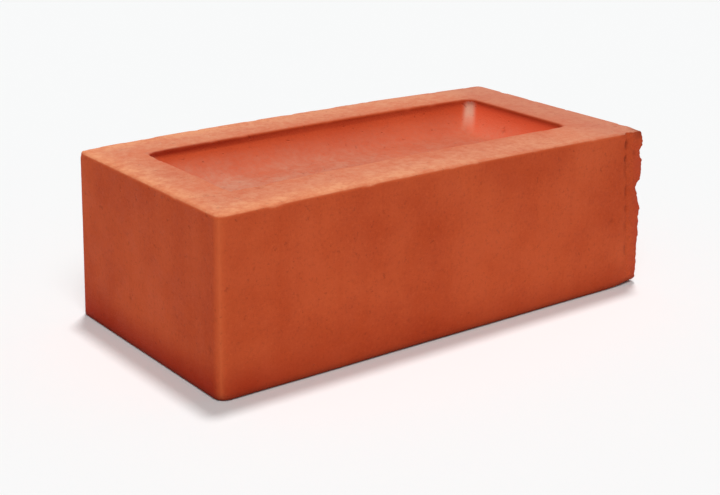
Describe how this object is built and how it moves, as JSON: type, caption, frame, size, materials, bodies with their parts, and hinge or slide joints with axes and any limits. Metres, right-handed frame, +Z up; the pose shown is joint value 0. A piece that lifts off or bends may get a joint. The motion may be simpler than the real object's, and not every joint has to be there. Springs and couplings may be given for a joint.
{
  "type": "clay brick",
  "caption": "Red fired clay brick with a shallow coved frog in its upper face, slightly drafted sides, rounded corners and a chipped upright arris.",
  "frame": {"origin": "centre of the bed face, on the surface that the brick lies on", "axes": "+X along the brick towards its chipped end, +Y across it away from the front long face, +Z up out of the frog"},
  "size_m": [0.23, 0.115, 0.075],
  "materials": {
    "fired_clay": "matt fired clay, orange-red, paler and dusty on the frogged face"
  },
  "bodies": {
    "root": {"brick": "fired_clay"}
  },
  "joints": []
}
